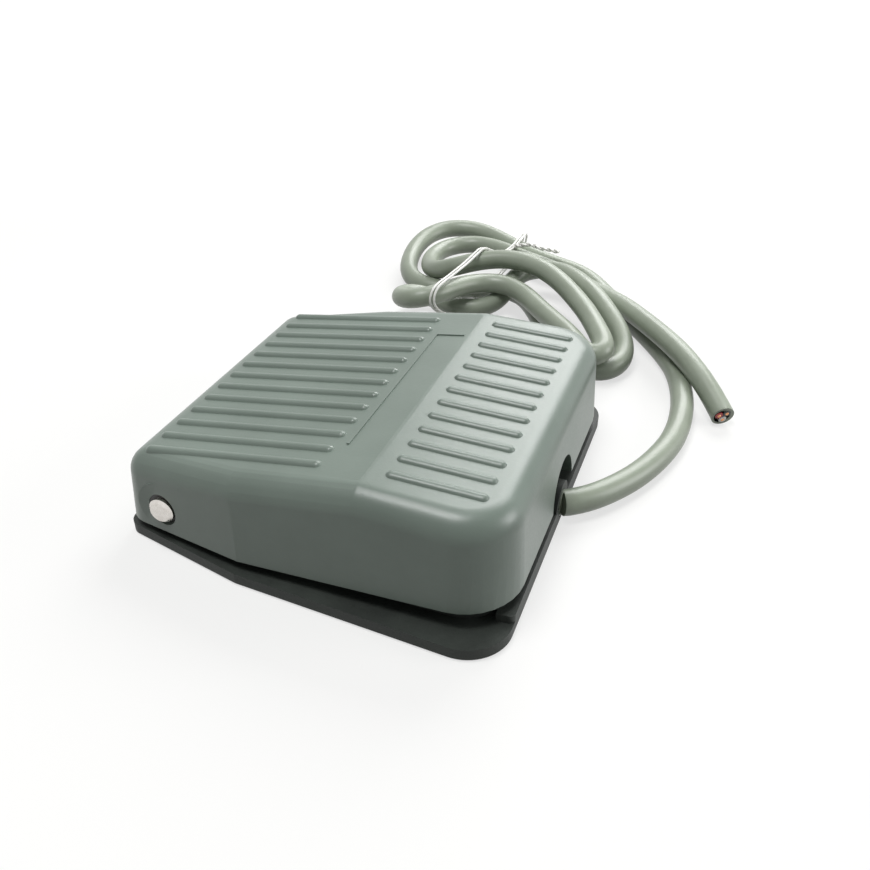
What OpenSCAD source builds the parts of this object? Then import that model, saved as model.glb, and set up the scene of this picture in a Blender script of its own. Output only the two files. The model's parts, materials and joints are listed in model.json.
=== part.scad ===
// Industrial foot switch: a die-cast pedal cover hinged on a cast base, pressing a
// snap-action switch inside through an adjusting screw. Millimetres, +Z up.
// Origin: centre of the footprint, on the floor. The hinge is at -X, the cable leaves at +X.

/* [Pedal cover] */
// Length of the cover from hinge end to cable end
cover_len = 99.2; // [94:0.2:106]
// Width of the cover at the cable end
cover_w = 98.4; // [96:0.2:106]
// Width of the cover where its side walls bend
cover_mid_w = 97.2; // [94:0.2:98]
// Width of the cover at the hinge end
cover_back_w = 84.8; // [82:0.2:92]
// Height of the crease in the tread above the floor
crease_h = 31.7; // [31:0.1:36]
// Distance of the crease from the cable end
crease_back = 35.2; // [32:0.2:40]
// Distance of the bend in the side walls from the hinge end
bend_back = 34.6; // [30:0.2:40]
// Rise of the tread from hinge end to crease, in degrees
rise_deg = 8.3; // [7:0.1:8.6]
// Fall of the tread from crease to cable end, in degrees
fall_deg = 1.9; // [1:0.1:3]
// Wall of the cover
cover_t = 2.6; // [2:0.1:3]
// How far the walls lean in from lower edge to tread
lean = 1; // [0.5:0.1:1.2]
// Radius that rolls the tread into the walls
roll_r = 6; // [5:0.2:6.5]
// Plan radius of the corners at the cable end
corner_r = 13.5; // [13:0.5:16]
// Plan radius of the corners at the hinge end
back_corner_r = 6.5; // [6:0.5:8]
// Height of the lower edge at the hinge end
edge_back_z = 5; // [4.9:0.1:5.4]
// Height of the lower edge at the bend of the walls
edge_bend_z = 5.6; // [5.4:0.1:6]
// Height of the lower edge at the cable end
edge_front_z = 8; // [7.9:0.1:9]
// Radius of the arch over the cable
arch_r = 9.6; // [9:0.2:11]

/* [Tread ribs] */
// Ribs in each of the two columns
rib_count = 13; // [9:1:13]
// Spacing of the ribs
rib_pitch = 6.27; // [5:0.01:6.4]
// Width of a rib at the tread
rib_w = 2.6; // [2:0.1:3.2]
// Height of a rib above the tread
rib_h = 0.8; // [0.5:0.1:1.2]
// Bare tread between the hinge end and the long ribs
rib_margin_back = 6.2; // [5.5:0.1:10]
// Bare tread between the short ribs and the cable end
rib_margin_front = 8.3; // [7.5:0.1:12]
// Length of a long rib
rib_long = 46.6; // [40:0.2:47]
// Length of a short rib
rib_short = 23; // [18:0.2:24]
// Width of the fine raised line that frames the bare strip
line_w = 0.7; // [0.5:0.1:1]
// Height of that line
line_h = 0.3; // [0.2:0.05:0.5]

/* [Base] */
// Thickness of the floor and flange
flange_t = 2.8; // [2.6:0.1:3]
// How far the flange stands out beyond the cover at the ears
ear_out = 6; // [5:0.2:7]
// Corner radius of the ears
ear_r = 10.5; // [9:0.5:12]
// How far the flange stands out beyond the cover at the bend
bend_out = 1.8; // [1:0.1:2.4]
// Corner radius of the flange at the hinge end
heel_r = 4; // [3:0.5:6]
// Gap between cover and tub wall at the floor
tub_gap = 1; // [0.9:0.1:1.2]
// Wall of the tub
tub_t = 2.6; // [2:0.1:3]
// Height of the top of the tub wall above the floor
tub_z = 13; // [12:0.5:14]
// Height of the sill under the cable end of the cover
sill_z = 5.4; // [5:0.1:5.5]
// Half width of that sill
sill_y = 43.4; // [40:0.2:43.6]
// Gap that stops the cover on its heel pads
heel_gap = 0.3; // [0.2:0.1:0.4]

/* [Hinge] */
// Distance of the hinge axis from the hinge end
hinge_back = 12.7; // [12:0.1:14]
// Height of the hinge axis above the floor
hinge_z = 11.4; // [11:0.1:12.2]
// Diameter of the hinge pin
pin_d = 6.5; // [5.5:0.1:7]
// How far the pin stands out of the cover
pin_proud = 1.1; // [0.5:0.1:1.5]
// Wall of the plastic bushes
bush_t = 0.75; // [0.6:0.05:1]
// Running clearance of the pin, on the radius
run_gap = 0.05; // [0.02:0.01:0.08]
// Thickness of the hinge cheeks on the base
cheek_t = 3.6; // [3:0.2:4]
// Full travel of the pedal, in degrees
press_deg = 1.5; // [1:0.1:1.5]

/* [Return springs] */
// Outside diameter of a spring
spring_d = 11; // [10:0.5:12]
// Wire of a spring
spring_wire = 1.2; // [1:0.1:1.4]
// Turns of a spring, with its closed ends
spring_turns = 9; // [7:1:11]
// Distance of the springs from the cable end
spring_back = 19.6; // [18:0.2:22]
// Distance of each spring from the middle
spring_y = 24; // [22:0.5:28]

/* [Snap switch] */
// Length of the switch case
case_l = 27.8; // [27:0.1:28.5]
// Thickness of the switch case
case_w = 10.3; // [10:0.1:10.6]
// Height of the switch case
case_h = 15.9; // [15.5:0.1:16.2]
// Distance of the case from the hinge end
case_back = 39.6; // [38:0.2:40.6]
// Distance of its two screw holes from the case edges
case_hole_in = 2.8; // [2.6:0.1:3.1]
// Diameter of its screws
case_screw_d = 3; // [2.5:0.1:3]
// Thickness of the switch cover plate
case_cover_t = 2; // [1.6:0.1:2.4]
// Distance of the plunger from the lever pin
plunger_arm = 7.4; // [7:0.1:8]
// Distance of the adjusting screw from the lever pin
lever_arm = 12.5; // [11:0.1:14]
// Diameter of the plunger
plunger_d = 3; // [2.6:0.1:3.2]
// Lever strip thickness
lever_t = 0.4; // [0.3:0.05:0.5]
// Lever strip width
lever_w = 4; // [3.4:0.1:4.4]
// Width of the terminal tabs
tab_w = 4.75; // [4:0.05:4.8]
// Thickness of the terminal tabs
tab_t = 0.5; // [0.4:0.05:0.8]
// Length of the terminal tabs
tab_l = 6.4; // [5.5:0.1:6.6]
// Diameter of the adjusting screw
adjust_d = 5; // [4:0.1:5]

/* [Cable] */
// Diameter of the cable sheath
cable_d = 6.8; // [6.6:0.1:6.8]
// Height of the cable axis in the base
cable_z = 4.8; // [4.8:0.1:5]
// Wall of the collar round the cable outlet
collar_t = 2.2; // [1.6:0.1:2.6]
// Diameter of one insulated core
core_d = 2.3; // [2:0.05:2.4]
// Distance of the cable clamp from the cable end
clamp_back = 13.6; // [12.5:0.1:14.5]
// Width of the clamp strap
clamp_w = 7; // [6:0.2:8]
// Thickness of the clamp strap
clamp_t = 1; // [0.8:0.1:1.2]
// Clamp screw diameter
clamp_screw_d = 3; // [2.5:0.1:3]

/* [Mounting and feet] */
// Diameter of the four mounting holes
mount_d = 4.5; // [4:0.1:5.5]
// Spacing of the mounting holes along the pedal
mount_dx = 60; // [56:1:62]
// Spacing of the mounting holes across the pedal
mount_dy = 68; // [62:1:70]
// Diameter of a rubber foot
foot_d = 10; // [8:0.5:11]
// How far the feet hold the base off the floor
foot_proud = 0.5; // [0.4:0.1:0.6]

/* [Hidden] */
$fn = 48;

// Clearance of a fixed piece in its seat
seat_gap = 0.02;
// Clearance of a screw in a plain hole, on the radius
screw_gap = 0.1;

// --- places that follow from the sizes above ---
back_x = -cover_len / 2;
front_x = cover_len / 2;
bend_x = back_x + bend_back;
crease_x = front_x - crease_back;
hinge_x = back_x + hinge_back;
floor_z = foot_proud + flange_t;
tub_in = cover_t + tub_gap;

function tread_z(x) = crease_h
    - (x < crease_x ? (crease_x - x) * tan(rise_deg) : (x - crease_x) * tan(fall_deg));
function roll_z(x) = min(crease_h - (crease_x - x) * tan(rise_deg) - roll_r / cos(rise_deg),
    crease_h - (x - crease_x) * tan(fall_deg) - roll_r / cos(fall_deg));
function side_y(x) = x < bend_x
    ? cover_back_w / 2 + (cover_mid_w - cover_back_w) / 2 * (x - back_x) / bend_back
    : cover_mid_w / 2 + (cover_w - cover_mid_w) / 2 * (x - bend_x) / (front_x - bend_x);
function edge_z(x) = x < bend_x
    ? edge_back_z + (edge_bend_z - edge_back_z) * (x - back_x) / bend_back
    : edge_bend_z + (edge_front_z - edge_bend_z) * (x - bend_x) / (front_x - bend_x);

// ---------- shared outlines ----------
// Plan of cover, flange and tub: a straight cable end, side walls with one bend, a narrower
// hinge end, and round corners tangent to their walls
module plan(back, back_y, back_r, mid, mid_y, front, front_y, front_r) {
    a = atan2(mid_y - back_y, mid - back);
    b = atan2(front_y - mid_y, front - mid);
    bc = [back + back_r, back_y + back_r * tan(a) - back_r / cos(a)];
    fc = [front - front_r, front_y - front_r * tan(b) - front_r / cos(b)];
    half = [[back, bc.y], bc + back_r * [-sin(a), cos(a)], [mid, mid_y],
        fc + front_r * [-sin(b), cos(b)], [front, fc.y]];
    polygon(concat(half, [for (i = [len(half) - 1:-1:0]) [half[i].x, -half[i].y]]));
    for (s = [-1, 1]) {
        translate([bc.x, s * bc.y]) circle(back_r);
        translate([fc.x, s * fc.y]) circle(front_r);
    }
}

module cover_plan(inset) plan(back_x + inset, cover_back_w / 2 - inset, back_corner_r - inset,
    bend_x, cover_mid_w / 2 - inset, front_x - inset, cover_w / 2 - inset, corner_r - inset);

module base_plan() plan(back_x, cover_back_w / 2, heel_r, bend_x, cover_mid_w / 2 + bend_out,
    front_x, cover_w / 2 + ear_out, ear_r);

// A hexagon prism with its bore, for the nuts
module hex_nut(flats, bore_d, h) difference() {
    cylinder(d = flats / cos(30), h = h, $fn = 6);
    translate([0, 0, -1]) cylinder(d = bore_d, h = h + 2);
}

// Pan head and shank, head up from z = 0, shank down
module pan_screw(d, len, head_d, head_h) {
    cylinder(d = head_d, h = head_h);
    translate([0, 0, -len]) cylinder(d = d, h = len);
}

// Runs children along Y at an XZ place: z of the child points to +Y
module along_y(x, y, z) translate([x, y, z]) rotate([-90, 0, 0]) children();

// ---------- smooth paths, tubes and coils ----------
function catmull(p, n) = [for (i = [0:len(p) - 2], k = [0:n - 1])
    let (a = p[max(i - 1, 0)], b = p[i], c = p[i + 1], d = p[min(i + 2, len(p) - 1)], t = k / n)
    0.5 * (2 * b + (c - a) * t + (2 * a - 5 * b + 4 * c - d) * t * t
        + (3 * b - a - 3 * c + d) * t * t * t)];
function smooth_path(p, n) = concat(catmull(p, n), [p[len(p) - 1]]);
function unit(v) = v / norm(v);
function turned(u, t) = let (w = cross(t, u)) cross(w, t) / norm(w);
function tangent(p, i) = unit(p[min(i + 1, len(p) - 1)] - p[max(i - 1, 0)]);

// Rings of a tube: each ring's first direction is carried on from the ring before
function frames(p, i, u) = i == len(p) ? []
    : let (t = tangent(p, i), v = turned(u, t)) concat([[t, v]], frames(p, i + 1, v));

// A tube of radius r with the given number of sides along the points of path p
module tube(p, r, sides, first = [0, 0, 1]) {
    f = frames(p, 0, turned(first, tangent(p, 0)));
    pts = [for (i = [0:len(p) - 1], k = [0:sides - 1])
        p[i] + r * (cos(360 * k / sides) * f[i][1] + sin(360 * k / sides) * cross(f[i][0], f[i][1]))];
    last = (len(p) - 1) * sides;
    polyhedron(pts, concat(
        [[for (k = [sides - 1:-1:0]) k]],
        [[for (k = [0:sides - 1]) last + k]],
        [for (i = [0:len(p) - 2], k = [0:sides - 1])
            [i * sides + k, i * sides + (k + 1) % sides, (i + 1) * sides + (k + 1) % sides,
            (i + 1) * sides + k]]));
}

// ---------- pedal cover ----------
// Where the roll of the tread turns down into the walls: one ball at each bend of the plan
roll_in = lean + roll_r;
crease_roll_x = crease_x + roll_r * (1 / cos(rise_deg) - 1 / cos(fall_deg)) / (tan(rise_deg) + tan(fall_deg));
roll_places = [
    [back_x + roll_in, side_y(back_x + roll_in) - roll_in],
    [bend_x, side_y(bend_x) - roll_in],
    [crease_roll_x, side_y(crease_roll_x) - roll_in]];

// The closed form of the cover, drawn in by inset; its skirt starts at start_z
module cover_form(inset, start_z) {
    r = roll_r - inset;
    c = corner_r - inset;
    cx = front_x - lean - corner_r;
    hull() {
        translate([0, 0, start_z]) linear_extrude(0.1) cover_plan(inset, $fn = 32);
        for (s = [-1, 1]) {
            for (p = roll_places) translate([p.x, s * p.y, roll_z(p.x)]) sphere(r, $fn = 32);
            translate([cx, s * (cover_w / 2 - lean - corner_r), roll_z(cx)]) rotate([0, fall_deg, 0])
                rotate_extrude($fn = 40) translate([c - r, 0]) circle(r, $fn = 32);
        }
    }
}

// Everything under the sloping lower edge of the cover
module below_edge() rotate([90, 0, 0]) linear_extrude(2 * cover_w, center = true) polygon([
    [2 * back_x, 0], [2 * back_x, edge_z(2 * back_x)], [bend_x, edge_bend_z],
    [2 * front_x, edge_z(2 * front_x)], [2 * front_x, 0]]);

rib_r = (rib_w * rib_w / 4 + rib_h * rib_h) / (2 * rib_h);
rib_sunk = rib_r - rib_h;
// One raised rib with round ends, from x0 to x1 along the sloping tread
module tread_rib(x0, x1, y, slope) {
    a = x0 + rib_w / 2;
    l = (x1 - x0 - rib_w) / cos(slope);
    translate([a, y, tread_z(a) - rib_sunk / cos(slope)]) rotate([0, 90 - slope, 0])
        rotate_extrude($fn = 24) intersection() {
            union() {
                circle(rib_r);
                translate([-rib_r, 0]) square([2 * rib_r, l]);
                translate([0, l]) circle(rib_r);
            }
            translate([0, -2 * rib_r]) square([2 * rib_r, l + 4 * rib_r]);
        }
}

rib_y0 = -rib_pitch * (rib_count - 1) / 2;
long_x = back_x + rib_margin_back;
short_x = front_x - rib_margin_front;
module tread_ribs() for (i = [0:rib_count - 1]) {
    tread_rib(long_x, long_x + rib_long, rib_y0 + i * rib_pitch, rise_deg);
    tread_rib(short_x - rib_short, short_x, rib_y0 + i * rib_pitch, -fall_deg);
}

// The fine raised line round the strip: up beside the long ribs, then across
strip_x = long_x + rib_long + 1.8;
strip_y = rib_pitch * 4.6;
strip_step = 8.5;
module strip_line() translate([strip_x, 0, tread_z(strip_x)]) rotate([0, -rise_deg, 0]) {
    translate([0, -strip_y, -1]) cube([line_w, 2 * strip_y, 1 + line_h]);
    translate([0, strip_y - line_w, -1]) cube([strip_step, line_w, 1 + line_h]);
}

bush_d = pin_d + 2 * run_gap + 2 * bush_t;
boss_r = bush_d / 2 + 3;
boss_y = side_y(hinge_x) - cover_t - 1.9;

act_x = back_x + case_back + 3 + lever_arm;
lever_x = act_x - lever_arm;
spring_x = front_x - spring_back;
screw_boss_r = adjust_d / 2 + 3;
// Underside of the tread, measured straight down
function ceiling_z(x) = tread_z(x) - cover_t / cos(x < crease_x ? rise_deg : fall_deg);

// A web under the tread: it follows the tread's slope, depth below the ceiling
module tread_web(x0, x1, depth, t) rotate([90, 0, 0]) linear_extrude(t, center = true) polygon([
    [x0, tread_z(x0) - 1], [crease_x, tread_z(crease_x) - 1], [x1, tread_z(x1) - 1],
    [x1, ceiling_z(x1) - depth], [crease_x, ceiling_z(crease_x) - depth],
    [x0, ceiling_z(x0) - depth]]);

web_y = 33;
spring_ring_r = spring_d / 2 + 1.8;
module pedal_cover() color([0.60, 0.64, 0.60]) difference() {
    union() {
        difference() {
            cover_form(0, edge_back_z - 1);
            cover_form(cover_t, edge_back_z - 2);
        }
        tread_ribs();
        strip_line();
        for (s = [-1, 1]) {
            // Boss that holds the bush
            along_y(hinge_x, s > 0 ? boss_y : -boss_y - 3.4, hinge_z) cylinder(r = boss_r, h = 3.4);
            // Web along the tread and ring that keeps the spring in place
            translate([0, s * web_y, 0]) tread_web(hinge_x - 3, front_x - 10, 3, 2);
            translate([spring_x, s * spring_y, ceiling_z(spring_x) - 2.4])
                cylinder(r = spring_ring_r, h = 3.4);
        }
        // Boss of the adjusting screw
        translate([act_x, 0, adjust_nut_z + nut5_h]) cylinder(r = screw_boss_r,
            h = ceiling_z(act_x) + 1 - adjust_nut_z - nut5_h);
    }
    below_edge();
    // Arch over the cable
    translate([front_x - tub_in - 2, 0, edge_front_z]) rotate([0, 90, 0])
        cylinder(r = arch_r, h = tub_in + 6);
    for (s = [-1, 1]) {
        // Seat of the bush through wall and boss
        along_y(hinge_x, s > 0 ? boss_y - 1 : -boss_y - 9, hinge_z)
            cylinder(d = bush_d + 2 * seat_gap, h = 10);
        translate([spring_x, s * spring_y, ceiling_z(spring_x) - 6])
            cylinder(r = spring_d / 2 + 0.4, h = 6 - 0.3);
    }
    translate([act_x, 0, adjust_nut_z]) cylinder(d = adjust_d + 2 * seat_gap, h = adjust_len - 0.3);
}

bush_end_y = side_y(hinge_x) - lean - 0.2;
module pin_bushes() color([0.07, 0.07, 0.07]) for (s = [-1, 1])
    along_y(hinge_x, s > 0 ? boss_y : -bush_end_y, hinge_z) difference() {
        cylinder(d = bush_d, h = bush_end_y - boss_y);
        translate([0, 0, -1]) cylinder(d = pin_d + 2 * run_gap, h = bush_end_y - boss_y + 2);
    }

// ---------- hinge pin ----------
pin_end_y = side_y(hinge_x) - lean * 0.3 + pin_proud;
cheek_y = boss_y - 0.6 - cheek_t;
clip_t = 0.8;
groove_r = pin_d / 2 - 0.6;
pin_chamfer = 0.7;
module hinge_pin() color([0.80, 0.78, 0.74]) difference() {
    along_y(hinge_x, 0, hinge_z) rotate_extrude() polygon([
        [0, -pin_end_y], [pin_d / 2 - pin_chamfer, -pin_end_y], [pin_d / 2, pin_chamfer - pin_end_y],
        [pin_d / 2, pin_end_y - pin_chamfer], [pin_d / 2 - pin_chamfer, pin_end_y], [0, pin_end_y]]);
    for (s = [-1, 1]) along_y(hinge_x, s * (cheek_y - clip_t / 2 - 0.1) - clip_t / 2 - 0.05, hinge_z)
        difference() {
            cylinder(r = pin_d, h = clip_t + 0.1);
            translate([0, 0, -1]) cylinder(r = groove_r, h = clip_t + 3);
        }
}

module pin_clips() color([0.75, 0.75, 0.76]) for (s = [-1, 1])
    along_y(hinge_x, s * (cheek_y - clip_t / 2 - 0.1) - clip_t / 2, hinge_z) difference() {
        cylinder(d = pin_d + 4, h = clip_t);
        translate([0, 0, -1]) cylinder(r = groove_r + seat_gap, h = clip_t + 2);
        translate([-groove_r * 0.8, 0, -1]) cube([groove_r * 1.6, pin_d + 4, clip_t + 2]);
    }

// ---------- base ----------
tub_front = front_x - tub_in;
module tub_plan(inset) cover_plan(tub_in + inset);

case_x = back_x + case_back;
case_z = floor_z + 1;
case_top = case_z + case_h;
lug_t = 3.5;
sheet_t = 0.3;
lug_y = case_w / 2 + sheet_t;
clamp_x = front_x - clamp_back;
clamp_screw_y = cable_d / 2 + clamp_t + 3.8;
clamp_foot_z = floor_z + 1.7;
channel_r = cable_d / 2 + 0.2;
sheath_end = clamp_x - clamp_w / 2 - 4;
mount_mid_x = 8;
heel_pad_z = edge_back_z - heel_gap;
foot_pocket = 1.2;
foot_places = [[back_x + 9.6, cover_back_w / 2 - 10.4], [front_x - ear_r, cover_w / 2 - 6.2]];
case_holes = [[case_x + case_hole_in, case_z + case_hole_in],
    [case_x + case_l - case_hole_in, case_top - case_hole_in]];

// Upright cheek that holds the hinge pin
module hinge_cheek(y) {
    along_y(hinge_x, y, hinge_z) cylinder(r = boss_r, h = cheek_t);
    translate([hinge_x - boss_r, y, floor_z - 1]) cube([2 * boss_r, cheek_t, hinge_z - floor_z + 1]);
}

// Sill under the cable end of the cover, round at its ends
module sill() linear_extrude(sill_z) {
    d = front_x - tub_front;
    translate([tub_front - 0.5, -sill_y + 1.5]) square([d + 0.5, 2 * sill_y - 3]);
    translate([tub_front - 0.5, -sill_y]) square([d - 1, 2 * sill_y]);
    for (s = [-1, 1]) translate([front_x - 1.5, s * (sill_y - 1.5)]) circle(1.5);
}

module base_casting() color([0.24, 0.26, 0.25]) difference() {
    union() {
        translate([0, 0, foot_proud]) linear_extrude(flange_t) base_plan();
        translate([0, 0, foot_proud]) linear_extrude(tub_z - foot_proud) difference() {
            tub_plan(0);
            tub_plan(tub_t);
        }
        difference() {
            union() {
                sill();
                // Collar round the cable outlet
                translate([tub_front - 1, 0, cable_z]) rotate([0, 90, 0])
                    cylinder(r = channel_r + collar_t, h = front_x - tub_front + 0.8);
            }
            translate([0, 0, -9]) linear_extrude(9 + foot_proud) square(3 * cover_len, center = true);
        }
        for (s = [-1, 1]) {
            hinge_cheek(s > 0 ? cheek_y : -cheek_y - cheek_t);
            // Post that centres the spring
            translate([spring_x, s * spring_y, floor_z - 1])
                cylinder(r = spring_d / 2 - spring_wire - 0.4, h = 6);
            // Boss of the clamp screw
            translate([clamp_x, s * clamp_screw_y, floor_z - 1]) cylinder(r = 3.4, h = clamp_foot_z - floor_z + 1);
            // Pad that the heel of the cover rests on
            translate([back_x + 0.3, s * 18 - 5, floor_z - 1]) cube([cover_t - 0.4, 10, heel_pad_z - floor_z + 1]);
        }
        // Lug and ledge of the snap switch
        translate([case_x, lug_y, floor_z - 1]) cube([case_l, lug_t, case_top - floor_z + 1]);
        translate([case_x, -case_w / 2 + 1, floor_z - 1]) cube([case_l, case_w - 1, case_z - floor_z + 1]);
    }
    // Room for the bush bosses of the cover
    for (s = [-1, 1]) {
        along_y(hinge_x, s > 0 ? cheek_y + cheek_t : -cheek_y - cheek_t - 12, hinge_z)
            cylinder(r = min(boss_r + 1, hinge_z - floor_z - 0.05), h = 12);
        translate([hinge_x - boss_r - 1, s > 0 ? cheek_y + cheek_t : -cheek_y - cheek_t - 12, hinge_z])
            cube([2 * boss_r + 2, 12, 20]);
        along_y(hinge_x, s > 0 ? cheek_y - 2 : -cheek_y - cheek_t - 2, hinge_z)
            cylinder(d = pin_d + 2 * seat_gap, h = cheek_t + 4);
        translate([clamp_x, s * clamp_screw_y, foot_proud + 0.8]) cylinder(d = clamp_screw_d + 2 * seat_gap, h = 20);
        for (m = [-1, 1]) translate([mount_mid_x + m * mount_dx / 2, s * mount_dy / 2, -1])
            cylinder(d = mount_d, h = 10);
        for (p = foot_places) translate([p.x, s * p.y, -1]) cylinder(d = foot_d + 0.3, h = 1 + foot_proud + foot_pocket);
    }
    // Channel and outlet of the cable
    translate([sheath_end - 3, 0, cable_z]) rotate([0, 90, 0]) cylinder(r = channel_r, h = 60);
    for (h = case_holes) along_y(h.x, 0, h.y) cylinder(d = case_screw_d + 2 * screw_gap, h = 30);
}

module rubber_feet() color([0.10, 0.10, 0.10]) for (s = [-1, 1], p = foot_places)
    translate([p.x, s * p.y, 0]) cylinder(d = foot_d, h = foot_proud + foot_pocket);

// ---------- return springs ----------
spring_z0 = floor_z + 0.05;
spring_z1 = ceiling_z(spring_x) - 0.45;
spring_steps = 12;
// Height of the wire at turn t: the first and last turns lie closed
function coil_rise(t) = let (n = spring_turns, w = spring_wire * 1.12,
    open = (spring_z1 - spring_z0 - spring_wire - 2 * w) / (n - 2))
    t < 1 ? w * t : (t > n - 1 ? w + open * (n - 2) + w * (t - n + 1) : w + open * (t - 1));
module return_springs() color([0.70, 0.71, 0.72]) for (s = [-1, 1])
    translate([spring_x, s * spring_y, spring_z0 + spring_wire / 2])
        tube([for (i = [0:spring_turns * spring_steps]) let (t = i / spring_steps, r = (spring_d - spring_wire) / 2)
            [r * cos(360 * t), r * sin(360 * t), coil_rise(t)]], spring_wire / 2, 6);

// ---------- snap switch ----------
lever_pin_z = case_top + 1.2;
lever_eye_r = 1;
lever_pin_d = 1;
lever_top = lever_pin_z + lever_eye_r;
ear_t = 0.9;
ear_y = lever_w / 2 - 0.4;
plunger_x = lever_x + plunger_arm;
tab_low = case_z + 5;
tab_high = case_top - 3.9;
tab_root = 1.1;

// Side outline of the case with bevelled corners
module case_outline() {
    b = 0.7;
    polygon([[b, 0], [case_l - b, 0], [case_l, b], [case_l, case_h - b], [case_l - b, case_h],
        [b, case_h], [0, case_h - b], [0, b]]);
}

module case_slab(y, t) difference() {
    translate([case_x, y + t, case_z]) rotate([90, 0, 0]) linear_extrude(t) case_outline();
    for (h = case_holes) along_y(h.x, y - 1, h.y) cylinder(d = case_screw_d + screw_gap, h = t + 2);
}

case_split = -case_w / 2 + case_cover_t;
module switch_case() color([0.09, 0.09, 0.10]) difference() {
    union() {
        case_slab(case_split, case_w - case_cover_t);
        for (s = [-1, 1]) translate([lever_x - 1.4, s > 0 ? ear_y : -ear_y - ear_t, case_top - 0.5])
            cube([2.8, ear_t, lever_pin_z - case_top + 1.5]);
    }
    along_y(lever_x, -10, lever_pin_z) cylinder(d = lever_pin_d + 2 * seat_gap, h = 20);
    translate([plunger_x, 0, case_top - 6]) cylinder(d = plunger_d + 2 * run_gap, h = 10);
    // Slots that the terminal tabs are moulded into
    for (z = [tab_low, tab_high]) translate([case_x + case_l - tab_root, -tab_t / 2, z - tab_w / 2])
        cube([5, tab_t, tab_w]);
    translate([case_x - 5 + tab_root, -tab_t / 2, tab_low - tab_w / 2]) cube([5, tab_t, tab_w]);
}

module switch_cover() color([0.13, 0.13, 0.14]) case_slab(-case_w / 2, case_cover_t);

plunger_top = lever_top - lever_t - 0.05;
module switch_plunger() color([0.75, 0.20, 0.15]) translate([plunger_x, 0, 0]) {
    translate([0, 0, case_top - 4]) cylinder(d = plunger_d, h = plunger_top - 0.4 - case_top + 4);
    translate([0, 0, plunger_top - 0.4]) intersection() {
        cylinder(d = plunger_d, h = 1);
        translate([0, 0, 0.4 - 3]) sphere(3);
    }
}

lever_len = lever_arm + 5.5;
module switch_lever() color([0.78, 0.78, 0.80]) difference() {
    union() {
        along_y(lever_x, -ear_y + 0.1, lever_pin_z) cylinder(r = lever_eye_r, h = 2 * ear_y - 0.2);
        translate([lever_x, -ear_y + 0.1, lever_top - lever_t]) cube([3, 2 * ear_y - 0.2, lever_t]);
        translate([lever_x + 2, -lever_w / 2, lever_top - lever_t]) cube([lever_len - 2, lever_w, lever_t]);
    }
    along_y(lever_x, -10, lever_pin_z) cylinder(d = lever_pin_d + 2 * run_gap, h = 20);
}

module lever_pin() color([0.70, 0.70, 0.72]) along_y(lever_x, -ear_y - ear_t - 0.2, lever_pin_z)
    cylinder(d = lever_pin_d, h = 2 * (ear_y + ear_t + 0.2));

// A tab with its solder hole, pointing to +X from x = 0
module terminal_tab() difference() {
    translate([-tab_root, -tab_t / 2, -tab_w / 2]) cube([tab_root + tab_l, tab_t, tab_w]);
    along_y(tab_l - 2.4, -2, 0) cylinder(d = 1.7, h = 4);
}
module common_terminal() color([0.80, 0.68, 0.36])
    translate([case_x, 0, tab_low]) mirror([1, 0, 0]) terminal_tab();
module open_terminal() color([0.80, 0.68, 0.36])
    translate([case_x + case_l, 0, tab_low]) terminal_tab();
module closed_terminal() color([0.80, 0.68, 0.36])
    translate([case_x + case_l, 0, tab_high]) terminal_tab();

module insulating_sheet() color([0.72, 0.62, 0.42]) difference() {
    translate([case_x - 0.8, case_w / 2, case_z]) cube([case_l + 1.6, sheet_t, case_h]);
    for (h = case_holes) along_y(h.x, 0, h.y) cylinder(d = case_screw_d + 2 * screw_gap, h = 30);
}

nut3_h = 2.4;
module switch_screws() color([0.75, 0.75, 0.77]) for (h = case_holes)
    along_y(h.x, -case_w / 2, h.y) mirror([0, 0, 1]) pan_screw(case_screw_d, case_w + sheet_t + lug_t + nut3_h + 1, 5.5, 1.9);
module switch_nuts() color([0.75, 0.75, 0.77]) for (h = case_holes)
    along_y(h.x, lug_y + lug_t, h.y) hex_nut(5.5, case_screw_d + 2 * seat_gap, nut3_h);

// ---------- adjusting screw in the cover ----------
nut5_h = 2.7;
adjust_tip = lever_top + 0.15;
adjust_nut_z = adjust_tip + 0.7;
adjust_len = ceiling_z(act_x) - 0.6 - adjust_tip;
module adjusting_screw() color([0.72, 0.72, 0.74]) translate([act_x, 0, adjust_tip]) {
    intersection() {
        cylinder(d = adjust_d, h = 1);
        translate([0, 0, 6]) sphere(6);
    }
    translate([0, 0, 0.6]) cylinder(d = adjust_d, h = adjust_len - 0.6);
}
module lock_nut() color([0.75, 0.75, 0.77]) translate([act_x, 0, adjust_nut_z])
    hex_nut(8, adjust_d + 2 * seat_gap, nut5_h);

// ---------- cable in the base ----------
clamp_in = cable_d / 2 + seat_gap;
clamp_reach = clamp_screw_y + 3.4;
module cable_clamp() color([0.76, 0.76, 0.78]) difference() {
    translate([clamp_x + clamp_w / 2, 0, 0]) rotate([0, -90, 0]) linear_extrude(clamp_w) difference() {
        union() {
            translate([cable_z, 0]) circle(clamp_in + clamp_t);
            translate([clamp_foot_z, -clamp_reach]) square([clamp_t, 2 * clamp_reach]);
        }
        translate([cable_z, 0]) circle(clamp_in);
        translate([clamp_foot_z - 20, -2 * clamp_reach]) square([20, 4 * clamp_reach]);
    }
    for (s = [-1, 1]) translate([clamp_x, s * clamp_screw_y, 0])
        cylinder(d = clamp_screw_d + 2 * screw_gap, h = 20);
}

module clamp_screws() color([0.75, 0.75, 0.77]) for (s = [-1, 1])
    translate([clamp_x, s * clamp_screw_y, clamp_foot_z + clamp_t])
        pan_screw(clamp_screw_d, clamp_foot_z + clamp_t - foot_proud - 1.0, 5.4, 1.8);

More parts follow.
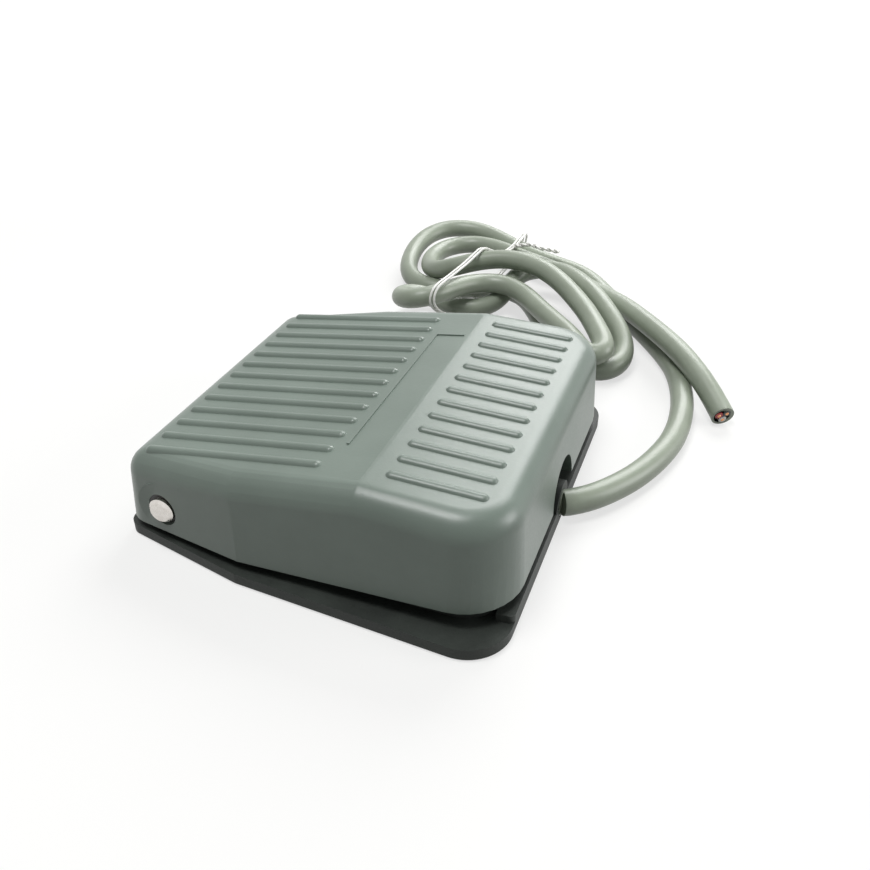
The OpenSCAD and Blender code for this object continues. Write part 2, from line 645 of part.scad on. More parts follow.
module sheath_in_base() color([0.72, 0.76, 0.72]) translate([sheath_end, 0, cable_z])
    rotate([0, 90, 0]) cylinder(d = cable_d, h = front_x - sheath_end);

// Cores leave the sheath in a triangle and run to their terminals
core_out = core_d * 0.62;
function core_start(a) = [sheath_end, core_out * cos(a), cable_z + core_out * sin(a)];
wire_side = tab_t / 2 + core_d / 2 + 0.2;
tab_front = case_x + case_l;
module core_wire(a, points) tube(concat([core_start(a)],
    smooth_path(concat([core_start(a) - [0.8, 0, 0]], points), 4)), core_d / 2, 8);

module red_wire() color([0.75, 0.12, 0.12]) core_wire(90, [
    [tab_front + 8, 1.2, 7.4], [tab_front + 6.6, 1.9, tab_low - 0.6],
    [tab_front + 4, wire_side, tab_low], [tab_front + 1.4, wire_side, tab_low]]);
module white_wire() color([0.90, 0.90, 0.88]) core_wire(-30, [
    [tab_front + 8, 3.6, 5.4], [tab_front + 7.6, 5, 9], [tab_front + 6.4, 4, tab_high - 2.6],
    [tab_front + 3.6, wire_side + 0.1, tab_high], [tab_front + 1.2, wire_side, tab_high]]);
wire_out = case_w / 2 + 3.6;
module black_wire() color([0.08, 0.08, 0.08]) core_wire(210, [
    [tab_front + 8, -3.4, 4.8], [tab_front + 4, -7.4, 5.2], [tab_front - 4, -wire_out, 5.6],
    [case_x + case_l / 2, -wire_out, 5.6], [case_x + 2, -wire_out, 5.8],
    [case_x - 1.4, -8, 6.4], [case_x - 3.4, -5, 8.2], [case_x - 4.6, -2.4, tab_low - 0.2],
    [case_x - 6, -wire_side, tab_low]]);

// ---------- free cable ----------
lead_route = [[50.4, 0, 4.8], [53, 1, 4.5], [56, 4.2, 4], [59.6, 10, 3.6], [63.6, 17.6, 3.4],
    [67.2, 26.4, 3.4], [70, 36, 3.4], [71.4, 46, 3.4], [71.4, 56, 3.4], [70.2, 66, 3.4], [67.6, 76, 3.4]];
tail_route = [[52, 108.2, 10.4], [58, 102, 9], [64, 94.6, 6.4], [69.4, 86.4, 4.6], [74.6, 77.6, 3.6], [79.4, 68, 3.4], [83.4, 58, 3.4]];
module cable_lead() color([0.72, 0.76, 0.72]) 
    tube(concat([[front_x, 0, cable_z]], smooth_path(lead_route, 3)), cable_d / 2, 10);
module cable_tail() color([0.72, 0.76, 0.72]) tube(smooth_path(tail_route, 2), cable_d / 2, 10);

module cable_hank() color([0.72, 0.76, 0.72]) translate([0, 0, 0.6]) linear_extrude(13) {
    translate([-18, 118]) circle(27);
    translate([30, 100]) circle(22);
    polygon([[-18, 91], [30, 78], [30, 122], [-18, 145]]);
}

// Bare ends of the three cores at the cut end of the cable
tail_end = tail_route[len(tail_route) - 1];
tail_dir = unit(tail_end - tail_route[len(tail_route) - 2]);
module core_end(a) translate(tail_end) rotate([0, 0, atan2(tail_dir.y, tail_dir.x)]) rotate([0, 90, 0])
    translate([core_out * cos(a), core_out * sin(a), 0.02]) cylinder(d = core_d, h = 2);
module red_core_end() color([0.80, 0.20, 0.25]) core_end(90);
module black_core_end() color([0.08, 0.08, 0.08]) core_end(210);
module white_core_end() color([0.92, 0.92, 0.90]) core_end(330);

module twist_tie() color([0.95, 0.95, 0.94]) translate([-8, 0, 0]) rotate([90, 0, 90])
    linear_extrude(2.4) difference() {
        translate([80, 0]) square([72, 14.2]);
        translate([80.5, 0.5]) square([71, 13.2]);
    }

base_casting();
rubber_feet();
hinge_pin();
pin_clips();
pedal_cover();
pin_bushes();
adjusting_screw();
lock_nut();
return_springs();
switch_case();
switch_cover();
switch_plunger();
switch_lever();
lever_pin();
common_terminal();
open_terminal();
closed_terminal();
insulating_sheet();
switch_screws();
switch_nuts();
cable_clamp();
clamp_screws();
sheath_in_base();
red_wire();
black_wire();
white_wire();
cable_lead();
cable_hank();
cable_tail();
red_core_end();
black_core_end();
white_core_end();
twist_tie();
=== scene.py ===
"""Industrial foot switch: the looks of each piece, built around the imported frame. Sizes are in
millimetres, and the mesh functions turn them to metres; the lamps and the floor are in metres."""
import json
import bmesh
import bpy
import numpy as np
from mathutils import Matrix, Vector


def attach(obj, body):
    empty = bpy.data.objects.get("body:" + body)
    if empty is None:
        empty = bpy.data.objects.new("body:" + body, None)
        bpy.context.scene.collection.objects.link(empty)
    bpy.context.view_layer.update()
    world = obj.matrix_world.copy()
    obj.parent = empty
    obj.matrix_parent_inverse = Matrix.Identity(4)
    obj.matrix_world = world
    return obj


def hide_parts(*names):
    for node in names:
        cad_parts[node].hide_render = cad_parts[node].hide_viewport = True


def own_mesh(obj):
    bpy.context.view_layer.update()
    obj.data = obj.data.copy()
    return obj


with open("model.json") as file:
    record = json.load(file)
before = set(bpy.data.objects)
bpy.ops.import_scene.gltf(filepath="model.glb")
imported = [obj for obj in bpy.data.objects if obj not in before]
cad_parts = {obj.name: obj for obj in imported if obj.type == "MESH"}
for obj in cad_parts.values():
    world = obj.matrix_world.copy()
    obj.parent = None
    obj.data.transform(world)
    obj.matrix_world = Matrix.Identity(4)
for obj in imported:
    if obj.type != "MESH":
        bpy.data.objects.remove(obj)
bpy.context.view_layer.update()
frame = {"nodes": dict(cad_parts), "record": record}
nodes = frame["nodes"]

# ---------------------------------------------------------------------------------------------
# The studio: a pale matt floor, three square soft lamps behind, above and to the right, and the
# camera close by, looking down on the pedal from the side where the hinge pin shows.
# ---------------------------------------------------------------------------------------------


def linear(code):
    """Turns an sRGB hex colour to linear: a channel c above 0.04045 is ((c + 0.055) / 1.055) ** 2.4."""
    c = np.array([int(code[i:i + 2], 16) for i in (1, 3, 5)]) / 255
    c = np.where(c > 0.04045, ((c + 0.055) / 1.055) ** 2.4, c / 12.92)
    return (*c.tolist(), 1.0)


def add(tree, kind, out=0, settings=(), **inputs):
    """Adds one shader node and returns its output number out; inputs are named with _ for a space, or iN."""
    n = tree.nodes.new("ShaderNode" + kind)
    for key, value in dict(settings).items():
        setattr(n, key, value)
    for key, value in inputs.items():
        numbered = key[0] == "i" and key[1:].isdigit()
        socket = n.inputs[int(key[1:])] if numbered else n.inputs[key.replace("_", " ")]
        if isinstance(value, bpy.types.NodeSocket):
            tree.links.new(value, socket)
        else:
            socket.default_value = value
    return n.outputs[out]


def material_of(name, shades, patch, rough, grain, relief, **constants):
    """A surface with two shades in soft patches, a rough and a smooth share, and a fine relief. patch and
    grain are the sizes of the patches and of the relief's grains, and relief is its height, all in mm."""
    m = bpy.data.materials.new(name)
    m.use_nodes = True
    t = m.node_tree
    t.nodes.clear()
    place = add(t, "TexCoord", out=3)
    cloud = add(t, "TexNoise", Vector=place, Scale=1000 / patch, Detail=4.0, Roughness=0.6)
    patches = add(t, "MapRange", i0=cloud, i1=0.35, i2=0.65)
    shade = add(t, "Mix", out=2, settings={"data_type": "RGBA"}, i0=patches,
                i6=linear(shades[0]), i7=linear(shades[1]))
    fine = add(t, "TexNoise", Vector=place, Scale=1000 / grain, Detail=3.0, Roughness=0.55)
    both = add(t, "Math", settings={"operation": "ADD"}, i0=cloud, i1=fine)
    gloss = add(t, "MapRange", i0=both, i1=0.7, i2=1.3, i3=rough[0], i4=rough[1])
    bump = add(t, "Bump", Strength=1.0, Distance=relief / 1000, Height=fine)
    shader = add(t, "BsdfPrincipled", Base_Color=shade, Roughness=gloss, Normal=bump, **constants)
    t.links.new(shader, t.nodes.new("ShaderNodeOutputMaterial").inputs["Surface"])
    return m


VIEW_FROM = (81.4, -177.0, 142.5)
VIEW_ALONG = (-0.2911, 0.7810, -0.5525)
LENS = 36.83
ahead = Vector(VIEW_ALONG).normalized()
right = ahead.cross(Vector((0, 0, 1))).normalized()
turned = Matrix((right, right.cross(ahead), -ahead)).transposed().to_4x4()
view = bpy.data.objects.new("view", bpy.data.cameras.new("view"))
view.data.lens, view.data.sensor_width = LENS, 36.0
view.data.clip_start, view.data.clip_end = 0.01, 20
view.matrix_world = Matrix.Translation(Vector(VIEW_FROM) / 1000) @ turned
bpy.context.scene.collection.objects.link(view)
bpy.context.scene.camera = view
bpy.context.scene.view_settings.view_transform = "Standard"


def lamp(name, place, target, size, watts):
    """A square soft lamp at place that faces the target, in metres and watts."""
    data = bpy.data.lights.new(name, "AREA")
    data.size, data.energy = size, watts
    o = bpy.data.objects.new(name, data)
    o.location = place
    o.rotation_euler = (Vector(target) - Vector(place)).to_track_quat("-Z", "Y").to_euler()
    bpy.context.scene.collection.objects.link(o)


lamp("from_behind", (0.05, 0.80, 0.65), (0, 0.02, 0), 0.6, 7.5)
lamp("overhead", (-0.10, -0.12, 0.80), (0, 0.02, 0), 0.3, 4.0)
lamp("from_right", (0.80, 0.25, 0.30), (0.03, 0.03, 0.02), 0.4, 3.0)

# The sky looks white to the eye and in reflections, and gives little light of its own.
SKY_LIGHT = 0.14
world = bpy.data.worlds.new("studio")
world.use_nodes = True
sky = world.node_tree
sky.nodes.clear()
rays = sky.nodes.new("ShaderNodeLightPath").outputs
shown = add(sky, "Math", settings={"operation": "MAXIMUM"}, i0=rays["Is Camera Ray"],
            i1=rays["Is Transmission Ray"])
shown = add(sky, "Math", settings={"operation": "MAXIMUM"}, i0=shown, i1=rays["Is Glossy Ray"])
brightness = add(sky, "MapRange", i0=shown, i3=SKY_LIGHT, i4=1.0)
glow = add(sky, "Background", Color=linear("#FFFFFF"), Strength=brightness)
sky.links.new(glow, sky.nodes.new("ShaderNodeOutputWorld").inputs["Surface"])
bpy.context.scene.world = world

# The floor is matt. To the camera and in reflections it also glows, more so away from the object, and
# so it looks white round the shadow.
HALF_FLOOR = 3
GLOW_FROM, GLOW_TO = 0.25, 1.1
GLOW_NEAR, GLOW_FAR = 0.66, 0.98
floor_data = bpy.data.meshes.new("floor")
corners = [(x * HALF_FLOOR, y * HALF_FLOOR, 0) for x, y in ((-1, -1), (1, -1), (1, 1), (-1, 1))]
floor_data.from_pydata(corners, [], [(0, 1, 2, 3)])
floor = bpy.data.objects.new("floor", floor_data)
bpy.context.scene.collection.objects.link(floor)
floor_paint = bpy.data.materials.new("floor_matt_white")
floor_paint.use_nodes = True
ft = floor_paint.node_tree
ft.nodes.clear()
matt = add(ft, "BsdfDiffuse", Color=linear("#949492"))
away = add(ft, "VectorMath", out=1, settings={"operation": "LENGTH"}, i0=add(ft, "TexCoord", out=3))
fade = add(ft, "MapRange", i0=away, i1=GLOW_FROM, i2=GLOW_TO, i3=GLOW_NEAR, i4=GLOW_FAR)
lit = add(ft, "AddShader", i0=matt, i1=add(ft, "Emission", Color=linear("#FFFFFF"), Strength=fade))
rays = ft.nodes.new("ShaderNodeLightPath").outputs
seen = add(ft, "Math", settings={"operation": "MAXIMUM"}, i0=rays["Is Camera Ray"], i1=rays["Is Glossy Ray"])
ft.links.new(add(ft, "MixShader", i0=seen, i1=matt, i2=lit),
             ft.nodes.new("ShaderNodeOutputMaterial").inputs["Surface"])
floor_data.materials.append(floor_paint)

# ---------------------------------------------------------------------------------------------
# The cable: round three-core PVC cable in one length, pale grey and satin. It leaves the outlet
# in the base, runs along the floor into a loose hank behind the pedal, and its cut end lies free.
# ---------------------------------------------------------------------------------------------
MERGE_M = 2e-6


def mesh_of(name, points, faces, materials, smooth_deg, marks=None):
    """An object from points in mm: doubles are merged, faces turned outwards, and edges over
    smooth_deg stay sharp. marks gives each face's place in the list of materials."""
    data = bpy.data.meshes.new(name)
    data.from_pydata((np.asarray(points, float) / 1000).tolist(), [], np.asarray(faces).tolist())
    if marks is not None:
        data.polygons.foreach_set("material_index", np.asarray(marks, np.int32))
    b = bmesh.new()
    b.from_mesh(data)
    bmesh.ops.remove_doubles(b, verts=b.verts, dist=MERGE_M)
    bmesh.ops.recalc_face_normals(b, faces=b.faces)
    b.to_mesh(data)
    b.free()
    data.polygons.foreach_set("use_smooth", [True] * len(data.polygons))
    data.set_sharp_from_angle(angle=np.radians(smooth_deg))
    for material in materials:
        data.materials.append(material)
    o = bpy.data.objects.new(name, data)
    bpy.context.scene.collection.objects.link(o)
    return o


def grid_faces(rows, cols, rows_close=False):
    """Quads of a grid numbered row by row; columns close on themselves, and rows do if asked."""
    r = np.arange(rows if rows_close else rows - 1)[:, None]
    c = np.arange(cols)[None, :]
    r2, c2 = (r + 1) % rows, (c + 1) % cols
    return np.stack([r * cols + c, r * cols + c2, r2 * cols + c2, r2 * cols + c], -1).reshape(-1, 4)


def smooth_line(points, step):
    """A Catmull-Rom curve through the points, cut into equal steps: on each span it is
    half of 2b + (c - a)t + (2a - 5b + 4c - d)t^2 + (3b - a - 3c + d)t^3."""
    p = np.asarray(points, float)
    q = np.vstack([2 * p[0] - p[1], p, 2 * p[-1] - p[-2]])
    t = np.linspace(0, 1, 16, endpoint=False)[None, :, None]
    a, b, c, d = (q[i:len(p) - 1 + i, None, :] for i in range(4))
    fine = 0.5 * (2 * b + (c - a) * t + (2 * a - 5 * b + 4 * c - d) * t ** 2
                  + (3 * b - a - 3 * c + d) * t ** 3)
    fine = np.vstack([fine.reshape(-1, 3), p[-1:]])
    s = np.r_[0, np.cumsum(np.linalg.norm(np.diff(fine, axis=0), axis=1))]
    even = np.linspace(0, s[-1], int(round(s[-1] / step)) + 1)
    return np.stack([np.interp(even, s, fine[:, k]) for k in range(3)], -1)


def tube_points(line, radius, sides):
    """Rings round a line: point + r (cos a * u + sin a * v), where u starts upwards and is carried
    along by taking out its share along the line at each step."""
    along = np.gradient(line, axis=0)
    along /= np.linalg.norm(along, axis=1)[:, None]
    u = np.zeros_like(line)
    carried = np.array([0.0, 0.0, 1.0])
    for i, t in enumerate(along):
        carried = carried - t * (carried @ t)
        carried /= np.linalg.norm(carried)
        u[i] = carried
    a = np.linspace(0, 2 * np.pi, sides, endpoint=False)[None, :, None]
    ring = np.cos(a) * u[:, None, :] + np.sin(a) * np.cross(along, u)[:, None, :]
    return (line[:, None, :] + radius * ring).reshape(-1, 3)


CABLE_R = 3.4
SHEATH_WALL = 0.75
CUT_DEPTH = 1.6
SIDES = 28
OUTLET = (49.6, 0, 4.8)
LEAD = [OUTLET, (53.5, 2.5, 4.6), (58, 8, 4.2), (64, 18, 3.6), (68.5, 29, 3.4), (71.5, 41, 3.4),
        (72, 54, 3.4), (70.5, 67, 3.4), (67, 80, 3.4)]
# The hank in order: out to the far turn, back to the right end beside the pedal, over to a small turn on
# the left, to the right end again, over the top to the inner far turn, and back to the tail.
HANK = [(62, 90, 3.4), (55.5, 100, 3.4), (48, 110.5, 3.4), (41, 120.5, 3.4), (34, 130.5, 3.4),
        (27.5, 139.5, 3.4), (20.5, 146.5, 3.4), (11, 151, 3.4), (1, 156, 3.4), (-9, 162.5, 3.4),
        (-19, 169.5, 3.8), (-29.5, 173.5, 4.6), (-39.5, 171, 5), (-45.5, 161.5, 5), (-47, 149, 4.4),
        (-45.5, 137, 3.8), (-42, 125.5, 3.6), (-35.5, 116.5, 3.5), (-25.5, 114, 3.4),
        (-14.5, 117.5, 3.4), (-5, 121.5, 3.4), (4.5, 119.5, 3.4), (12, 110, 3.4), (18, 99.5, 3.4),
        (24, 89, 3.4), (30.5, 79, 3.4), (37.5, 73, 3.4), (44.5, 71.9, 3.4), (49, 76.8, 3.9),
        (49.6, 84.5, 5), (46.8, 91.7, 7.6), (41.5, 98.5, 10.4), (34.5, 107.5, 12.6), (27, 116.8, 12.8),
        (20, 124.8, 11.8), (12.5, 129.5, 10.6), (5, 126.5, 10.2), (1.5, 118.5, 9), (0, 110.5, 5.2),
        (-4.5, 103.5, 3.6), (-12, 100.6, 3.5), (-20.5, 102, 4.3), (-28, 102.6, 5.6), (-32.6, 97.5, 7.2),
        (-31, 89.5, 9.4), (-24.5, 84.6, 11.8), (-17.5, 88.5, 12.9), (-13.5, 97.5, 12.4),
        (-8, 106, 11.4), (1, 108.8, 11.4), (10, 104, 10.8), (18, 95.3, 10.4), (25.5, 87.3, 10.2),
        (32.5, 79.5, 10.2), (38.5, 70.5, 10.2), (43, 67.6, 10.4), (45.4, 71.5, 11.2), (43.4, 76.6, 12),
        (40.2, 82.6, 12.6), (35.6, 90.8, 13.3), (29, 99.5, 14.6), (21, 108.3, 16), (11.5, 115.9, 16.7),
        (0.3, 119.8, 16.5), (-11.3, 118.3, 14.7), (-21.6, 115.5, 11.5), (-30.1, 120.5, 7.6),
        (-35.1, 130.6, 5.5), (-37.3, 141.7, 4.2), (-35.5, 153, 3.6), (-27.5, 160.5, 3.6),
        (-16.5, 158.5, 4.1), (-5.9, 151.7, 4.7), (4.4, 145.8, 5.1), (15, 141, 4.8), (23.3, 133.8, 5.2),
        (30.4, 124.6, 6.8), (37.5, 116.1, 8.7), (45, 107.7, 10)]
# The cut end leaves the hank over the lead and comes down to the floor.
TAIL = [(53, 98.5, 10.3), (60.5, 89, 10.6), (68, 79, 10.4), (75.5, 69.5, 8), (81, 62, 5), (83.4, 58, 3.6)]


LEAN_FROM_Y = 110
LEAN = 0.185
LEAN_WAY = (0.27, -1.0, 0.4)


def leaned(points):
    """The far turns lean back on the near ones: a point moves LEAN times its way past LEAN_FROM_Y,
    along LEAN_WAY, which is mostly forwards, with a little up and to the right."""
    p = np.array(points, float)
    past = np.clip(p[:, 1] - LEAN_FROM_Y, 0, None)
    return p + LEAN * past[:, None] * LEAN_WAY


ROUTE_STEP = 1.6
EASING_PASSES = 10
route = smooth_line(leaned(LEAD + HANK + TAIL), ROUTE_STEP)
for _ in range(EASING_PASSES):
    route[2:-2] = (route[1:-3] + 2 * route[2:-2] + route[3:-1]) / 4
route[:, 2] = np.maximum(route[:, 2], CABLE_R)
end_way = route[-1] - route[-3]
end_way /= np.linalg.norm(end_way)
inner = route[-1] - end_way * CUT_DEPTH
# The tube starts at a point, and at the cut it turns inwards over the sheath's wall and down its bore.
bore_r = CABLE_R - SHEATH_WALL
rings = np.vstack([np.repeat(route[:1], SIDES, 0), tube_points(route, CABLE_R, SIDES),
                   tube_points(np.array([route[-1] - end_way, route[-1]]), bore_r, SIDES)[SIDES:],
                   tube_points(np.array([inner - end_way, inner]), bore_r, SIDES)[SIDES:],
                   np.repeat(inner[None, :], SIDES, 0)])
# Extruded plasticised PVC: a soft even sheen, with faint clouds and a very fine skin.
sheath_pvc = material_of("grey_pvc_extruded", ("#868F7F", "#8F9888"), 9.0, (0.34, 0.46), 0.9, 0.03,
                         IOR=1.53, Coat_Weight=0.12, Coat_Roughness=0.3)
cable = mesh_of("cable", rings, grid_faces(len(rings) // SIDES, SIDES), [sheath_pvc], 50)

# ---------------------------------------------------------------------------------------------
# The cores at the cut end: three PVC insulated wires, red, black and white, cut just proud of the
# sheath, each with the bright end of its stranded copper in the middle.
# ---------------------------------------------------------------------------------------------
CORE_R = 1.18
COPPER_R = 0.55
CORE_PROUD = 0.25
CORE_GAP = 0.05
CORE_SIDES = 20
# Each core's outline from its hidden end to the middle of the copper: how far along, and how wide.
CORE_OUTLINE = [(-CUT_DEPTH - 0.2, 0.01), (-CUT_DEPTH - 0.2, CORE_R), (-0.15, CORE_R), (0, CORE_R - 0.15),
                (0, COPPER_R + 0.05), (0, COPPER_R), (0.12, COPPER_R * 0.8), (0.16, 0.01)]
COPPER_FROM = 5
# Bare copper strands, just cut: bright metal in patches the size of a strand.
copper = material_of("copper_cut_strands", ("#B87A50", "#D8A77E"), 0.5, (0.25, 0.45), 0.25, 0.05,
                     Metallic=1.0)
across = np.cross(end_way, [0, 0, 1.0])
across /= np.linalg.norm(across)
above = np.cross(across, end_way)
core_seat = CABLE_R - SHEATH_WALL - CORE_R - CORE_GAP
core_ends, core_pvc = [], {}
z, r = np.array(CORE_OUTLINE).T[:, :, None, None]
around = np.linspace(0, 2 * np.pi, CORE_SIDES, endpoint=False)[:, None]
turned_core = end_way * z + r * (np.cos(around) * across + np.sin(around) * above)
walls = grid_faces(len(CORE_OUTLINE), CORE_SIDES)
marks = (walls[:, 0] // CORE_SIDES >= COPPER_FROM).astype(int)
for core, turn, shades in (("red", 20, ("#B0343A", "#C4474C")), ("black", 130, ("#141414", "#232323")),
                           ("white", 260, ("#E4E4E0", "#F2F2EF"))):
    # Coloured PVC insulation: plain, with the low gloss of a thin extruded wall
    core_pvc[core] = material_of(core + "_core_pvc", shades, 2.0, (0.3, 0.45), 0.5, 0.02, IOR=1.53)
    off = core_seat * (np.cos(np.radians(turn)) * across + np.sin(np.radians(turn)) * above)
    points = (route[-1] + off + end_way * CORE_PROUD + turned_core).reshape(-1, 3)
    piece = mesh_of(core + "_core_cut_end", points, walls, [core_pvc[core], copper], 40, marks)
    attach(piece, "base")
    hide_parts(core + "_core_end")
    core_ends.append(piece)

# ---------------------------------------------------------------------------------------------
# The twist tie: white plastic coated wire, drawn as two thin round strands side by side. It is bent
# once round the hank and closed on top, where its two ends are wound round each other.
# ---------------------------------------------------------------------------------------------
TIE_LOOP = [(-13, 103, 0.8), (-15, 95, 2.6), (-16.6, 86.5, 8), (-17.6, 83.8, 12.5), (-17, 86.5, 16.6),
            (-15, 96, 17.6), (-13.2, 106, 18.2), (-12, 114, 18.9), (-11.2, 120, 18.9), (-10, 127, 15.5),
            (-9, 137, 11), (-8, 148, 9.2), (-7.4, 157, 9.4), (-8, 166, 8.4), (-9, 171.5, 4.4),
            (-9.5, 168, 0.9), (-10, 150, 0.7), (-11, 126, 0.7)]
TIE_TAIL = [(-7.2, 150, 9.4), (-4, 148, 10.8), (0, 148.5, 11.4), (4, 147, 11.2), (8, 147.5, 10.8),
            (12, 145.5, 11.2)]
TIE_R = 0.42
TIE_SIDES = 8
TIE_STEP, TWIST_STEP = 0.8, 0.5
EDGE_TO_EDGE = (1.3, 0.25, 0.1)
TWIST_TURNS = 3.5
TWIST_R = 0.4
loop_line = smooth_line(leaned(TIE_LOOP + TIE_LOOP[:1]), TIE_STEP)[:-1]
tail_line = smooth_line(leaned(TIE_TAIL), TWIST_STEP)
wind = np.linspace(0, 2 * np.pi * TWIST_TURNS, len(tail_line))[:, None]
twist = TWIST_R * (np.cos(wind) * [0, 1.0, 0] + np.sin(wind) * [0, 0, 1.0])
# Plain white plastic over a wire, half bright.
tie_white = material_of("white_tie_plastic", ("#E9E9E4", "#F4F4F1"), 3.0, (0.35, 0.5), 0.4, 0.03, IOR=1.5)
parts, walls, count = [], [], 0
for line, closed in ((loop_line, True), (loop_line + EDGE_TO_EDGE, True), (tail_line + twist, False),
                     (tail_line - twist, False)):
    points = tube_points(line, TIE_R, TIE_SIDES)
    if not closed:
        points = np.vstack([np.repeat(line[:1], TIE_SIDES, 0), points, np.repeat(line[-1:], TIE_SIDES, 0)])
    parts.append(points)
    walls.append(grid_faces(len(points) // TIE_SIDES, TIE_SIDES, closed) + count)
    count += len(points)
tie = mesh_of("twist_tie_ribbon", np.vstack(parts), np.vstack(walls), [tie_white], 60)
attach(tie, "base")
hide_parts("twist_tie")

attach(cable, "base")
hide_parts("cable_lead", "cable_hank", "cable_tail")

# ---------------------------------------------------------------------------------------------
# The pedal cover: an aluminium pressure die casting with rounded ribs on the tread, sprayed with
# a satin grey-green enamel. Its solid's triangles are joined and its rounds are shaded smooth.
# ---------------------------------------------------------------------------------------------
body_of_node = {n: b for b, members in frame["record"]["behaviour"]["bodies"].items() for n in members}
FLAT_MM2 = 60
FLAT_DEG = 3
ONE_PLANE_DEG = 0.3
AREA_WEIGHT = 95


def dressed(node, name, material, smooth_deg=35):
    """A finished copy of a node's solid: triangles are joined at their corners and flats made whole, edges
    under smooth_deg are shaded round unless both sides are flats over FLAT_MM2, and each corner's normal
    is weighted by face area, so that a flat stays flat beside a round."""
    data = nodes[node].data.copy()
    b = bmesh.new()
    b.from_mesh(data)
    bmesh.ops.remove_doubles(b, verts=b.verts, dist=MERGE_M)
    bmesh.ops.dissolve_limit(b, angle_limit=np.radians(ONE_PLANE_DEG), verts=b.verts, edges=b.edges)
    for edge in b.edges:
        bend = np.degrees(edge.calc_face_angle(0.0))
        flat = min([f.calc_area() for f in edge.link_faces], default=0) * 1e6 > FLAT_MM2
        edge.smooth = not (bend > smooth_deg or (flat and bend > FLAT_DEG))
    b.to_mesh(data)
    b.free()
    data.polygons.foreach_set("use_smooth", [True] * len(data.polygons))
    data.materials.clear()
    data.materials.append(material)
    o = bpy.data.objects.new(name, data)
    bpy.context.scene.collection.objects.link(o)
    even = o.modifiers.new("flats", "WEIGHTED_NORMAL")
    even.mode, even.weight, even.keep_sharp = "FACE_AREA", AREA_WEIGHT, True
    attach(o, body_of_node[node])
    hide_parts(node)
    return o


# Sprayed satin enamel: cloudy patches of two near shades, and a faint orange peel under a thin clear film.
cover_paint = material_of("satin_enamel_grey_green", ("#66736A", "#6D7A71"), 22.0, (0.30, 0.40), 0.7, 0.02,
                          IOR=1.5, Coat_Weight=0.15, Coat_Roughness=0.35)
dressed("pedal_cover", "pedal_cover_shell", cover_paint, 32)

# ---------------------------------------------------------------------------------------------
# The base: a cast tub with a wide flange, in a much darker enamel than the cover's, standing on four
# moulded rubber feet that sit in pockets of its underside.
# ---------------------------------------------------------------------------------------------
# Dark satin enamel: duller than the cover's, with twice the relief.
base_paint = material_of("satin_enamel_dark_grey", ("#282C29", "#323733"), 14.0, (0.46, 0.58), 0.5, 0.04,
                         IOR=1.5, Specular_IOR_Level=0.3)
dressed("base_casting", "base_casting_shell", base_paint, 32)
# Moulded rubber: nearly black, and matt.
foot_rubber = material_of("black_moulded_rubber", ("#171717", "#202020"), 5.0, (0.7, 0.85), 0.4, 0.05,
                          IOR=1.52)
dressed("rubber_feet", "rubber_feet_pads", foot_rubber)

# ---------------------------------------------------------------------------------------------
# The hinge: a bright steel pin that shows its ends in a black nylon bush on each side, held by flat
# spring clips in its grooves.
# ---------------------------------------------------------------------------------------------
# Ground steel: bright, with a grain that is barely to be seen.
pin_steel = material_of("ground_steel", ("#CFCAC4", "#DCD8D3"), 1.5, (0.16, 0.3), 0.25, 0.012,
                        Metallic=1.0)
dressed("hinge_pin", "hinge_pin_ground", pin_steel)
# Moulded nylon: black and half bright.
bush_nylon = material_of("black_nylon_moulded", ("#0E0E0E", "#181818"), 2.0, (0.35, 0.5), 0.4, 0.02,
                         IOR=1.53)
dressed("pin_bushes", "pin_bushes_moulded", bush_nylon)

# ---------------------------------------------------------------------------------------------
# The two return springs: coiled from hard drawn wire, they stand round posts of the base and press
# up under the tread. The pin's flat clips share their finish.
# ---------------------------------------------------------------------------------------------
# Drawn spring steel: grey and smooth, with a sheen.
spring_wire = material_of("drawn_spring_wire", ("#8F9290", "#A5A7A4"), 1.5, (0.25, 0.38), 0.25, 0.01,
                          Metallic=1.0)
dressed("pin_clips", "pin_clips_finished", spring_wire)
springs = dressed("return_springs", "return_springs_coiled", spring_wire, 60)
springs.modifiers.clear()
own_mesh(springs)

# ---------------------------------------------------------------------------------------------
# The snap switch: a phenolic case and cover plate, a red nylon plunger, a rolled steel lever on its
# pin and three stamped brass tabs, with a sheet of fish paper between the case and its lug.
# ---------------------------------------------------------------------------------------------
# Zinc plate: pale and a little cloudy, on the lever's pin here and on the fasteners below.
zinc = material_of("zinc_plated_steel", ("#B9BBB8", "#CDCDC4"), 1.2, (0.28, 0.42), 0.3, 0.02, Metallic=1.0)
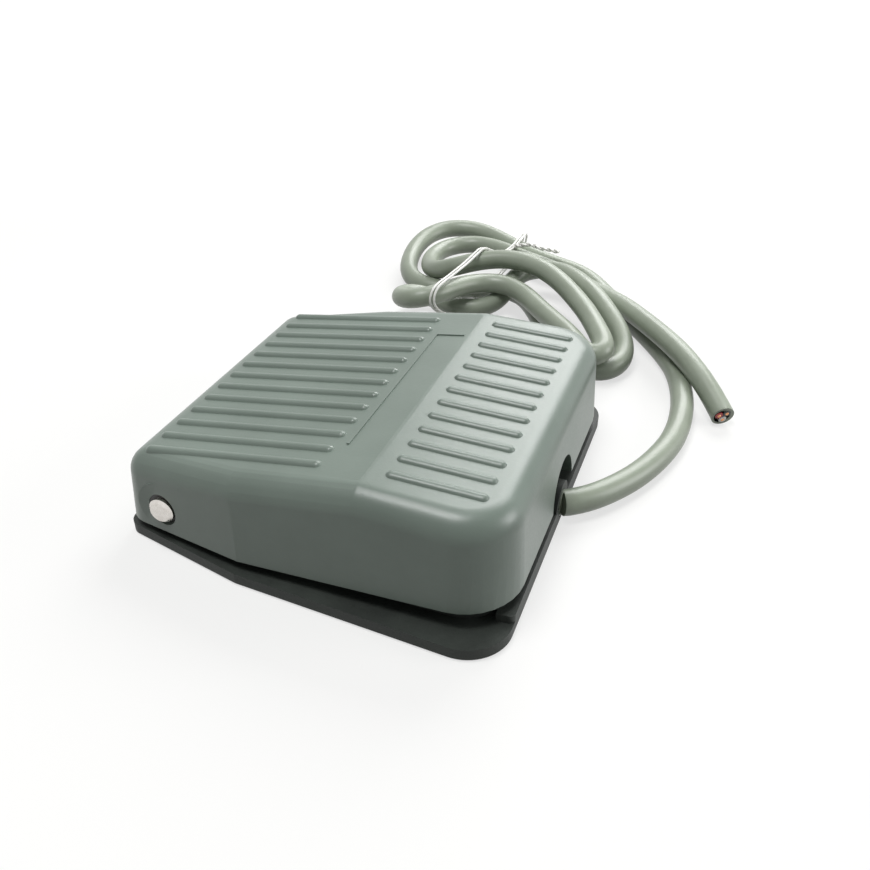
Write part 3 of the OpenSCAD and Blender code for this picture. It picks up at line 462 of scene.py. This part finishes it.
# Rolled strip: flat and bright.
strip_steel = material_of("rolled_strip_steel", ("#C6C8C7", "#D6D7D6"), 2.0, (0.22, 0.34), 0.3, 0.01,
                          Metallic=1.0)
# Phenolic moulding: black with a warm cast, half bright.
phenolic = material_of("black_phenolic_moulding", ("#131313", "#1E1E1C"), 3.0, (0.38, 0.52), 0.4, 0.02,
                       IOR=1.6)
# Moulded nylon in red.
plunger_nylon = material_of("red_nylon_moulded", ("#A32A26", "#B83A34"), 2.0, (0.35, 0.48), 0.4, 0.02,
                            IOR=1.53)
# Stamped brass, clean, with slight clouds.
brass = material_of("stamped_brass", ("#B9975A", "#CDAE72"), 1.5, (0.25, 0.4), 0.3, 0.01, Metallic=1.0)
# Fish paper: a dull tan board with a felted grain.
fish_paper = material_of("tan_fish_paper", ("#B99A6C", "#C7AA7E"), 4.0, (0.6, 0.75), 0.3, 0.04, IOR=1.5)
for node, finish, slot in (
        ("switch_case", phenolic, "switch_black"), ("switch_cover", phenolic, "switch_black"),
        ("switch_plunger", plunger_nylon, "plunger_red"), ("switch_lever", strip_steel, "lever_steel"),
        ("lever_pin", zinc, "zinc_steel"), ("common_terminal", brass, "tab_brass"),
        ("open_terminal", brass, "tab_brass"), ("closed_terminal", brass, "tab_brass"),
        ("insulating_sheet", fish_paper, "sheet_tan")):
    dressed(node, node + "_finished", finish)

# ---------------------------------------------------------------------------------------------
# The fasteners: plated screws and nuts that hold the switch to its lug, the adjusting screw and its
# lock nut in a boss under the tread, and the strap with two screws that clamps the cable to the base.
# ---------------------------------------------------------------------------------------------
for node in ("adjusting_screw", "lock_nut", "switch_screws", "switch_nuts", "cable_clamp", "clamp_screws"):
    dressed(node, node + "_finished", zinc)

# ---------------------------------------------------------------------------------------------
# The cable inside the base: the end of the sheath under its clamp, and the three insulated cores
# that run from it to the switch's tabs, in the same PVC as outside.
# ---------------------------------------------------------------------------------------------
dressed("sheath_in_base", "sheath_in_base_finished", sheath_pvc)
for core, finish in core_pvc.items():
    dressed(core + "_wire", core + "_wire_finished", finish)
